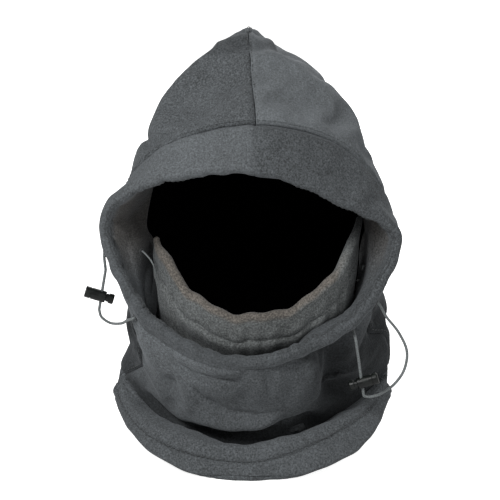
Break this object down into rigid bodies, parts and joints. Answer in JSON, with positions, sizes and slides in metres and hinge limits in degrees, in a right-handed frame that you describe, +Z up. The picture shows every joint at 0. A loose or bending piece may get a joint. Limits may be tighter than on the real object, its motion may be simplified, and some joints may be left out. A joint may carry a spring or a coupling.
{
  "type": "balaclava",
  "caption": "Grey fleece balaclava hood with a pointed crown, a face mask that slides up and down, a flared neck hem and an elastic drawcord with push-button cord locks.",
  "frame": {"origin": "in the plane that the hem stands on, under the middle of the whole object's bounding box, with cord locks and cord loops included; the hood's own middle plane is at x = 4.1 mm", "axes": "+Z up towards the crown, -Y out of the face opening, +X to the right as seen from in front (the wearer's left)"},
  "size_m": [0.2799, 0.2347, 0.3677],
  "materials": {
    "fleece": "matte pilled polyester fleece, blue-grey",
    "mask_fleece": "matte pilled polyester fleece, blue-grey, with a brownish cut edge",
    "lining": "matte black knit",
    "thread": "dull dark grey sewing thread",
    "eyelet": "stitched thread eyelet",
    "cord": "round braided elastic cord, mid grey",
    "lock": "satin black moulded plastic",
    "spring": "bright spring wire"
  },
  "bodies": {
    "collar": {"chin_band": "fleece", "bib_front": "fleece", "neck_panel_left": "fleece", "neck_panel_right": "fleece", "neck_lining": "lining", "hem_front": "fleece", "hem_back": "fleece", "chin_cord": "cord", "hem_thread_front": "thread", "hem_thread_back": "thread", "side_seam_thread_left": "thread", "side_seam_thread_right": "thread", "cord_eyelet_left_upper": "eyelet", "cord_eyelet_left_lower": "eyelet", "cord_eyelet_right_upper": "eyelet", "cord_eyelet_right_lower": "eyelet", "mask_eyelet_left": "eyelet", "mask_eyelet_right": "eyelet", "mask_tether_left": "cord", "mask_tether_right": "cord"},
    "hood": {"crown_left": "fleece", "crown_right": "fleece", "brim_left": "fleece", "brim_right": "fleece", "hood_lining": "lining", "brim_cord": "cord", "brim_seam_thread": "thread", "crown_seam_thread": "thread", "facing_thread": "thread"},
    "mask": {"mask_panel": "mask_fleece", "mask_cord": "cord", "mask_thread": "thread"},
    "left_cord": {"side_cord_left": "cord"},
    "right_cord": {"side_cord_right": "cord"},
    "left_lock": {"left_lock_barrel": "lock", "left_lock_spring": "spring"},
    "right_lock": {"right_lock_barrel": "lock", "right_lock_spring": "spring"},
    "left_plunger": {"left_lock_plunger": "lock"},
    "right_plunger": {"right_lock_plunger": "lock"}
  },
  "joints": [
    {"name": "hood_push_back", "type": "hinge", "parent": "collar", "child": "hood", "pos_m": [0.0041, -0.0584, 0.12], "axis": [-1, 0, 0], "range_deg": [0, 35], "deforming": ["neck_panel_left", "neck_panel_right", "neck_lining"]},
    {"name": "mask_raise", "type": "slide", "parent": "collar", "child": "mask", "axis": [0, 0, 1], "range_m": [-0.02, 0.03], "deforming": ["mask_tether_left", "mask_tether_right"]},
    {"name": "left_cord_swing", "type": "hinge", "parent": "collar", "child": "left_cord", "pos_m": [-0.12105, -0.04599, 0.17703], "axis": [-0.4384, 0.2204, 0.8713], "range_deg": [-8, 40], "stiffness_Nm_per_rad": 0.02},
    {"name": "right_cord_swing", "type": "hinge", "parent": "collar", "child": "right_cord", "pos_m": [0.11151, -0.05596, 0.1405], "axis": [0.5699, 0.3761, 0.7305], "range_deg": [-40, 4], "stiffness_Nm_per_rad": 0.02},
    {"name": "left_lock_slide", "type": "slide", "parent": "left_cord", "child": "left_lock", "axis": [0.1748, -0.0546, 0.9831], "range_m": [-0.007, 0.008]},
    {"name": "right_lock_slide", "type": "slide", "parent": "right_cord", "child": "right_lock", "axis": [-0.1462, -0.0322, 0.9887], "range_m": [0, 0.018]},
    {"name": "left_plunger_press", "type": "slide", "parent": "left_lock", "child": "left_plunger", "axis": [-0.9563, 0, 0.2924], "range_m": [0, 0.0022], "stiffness_N_per_m": 300, "springref_m": -0.004, "deforming": ["left_lock_spring"]},
    {"name": "right_plunger_press", "type": "slide", "parent": "right_lock", "child": "right_plunger", "axis": [0.9563, 0, 0.2924], "range_m": [0, 0.0022], "stiffness_N_per_m": 300, "springref_m": -0.004, "deforming": ["right_lock_spring"]}
  ]
}
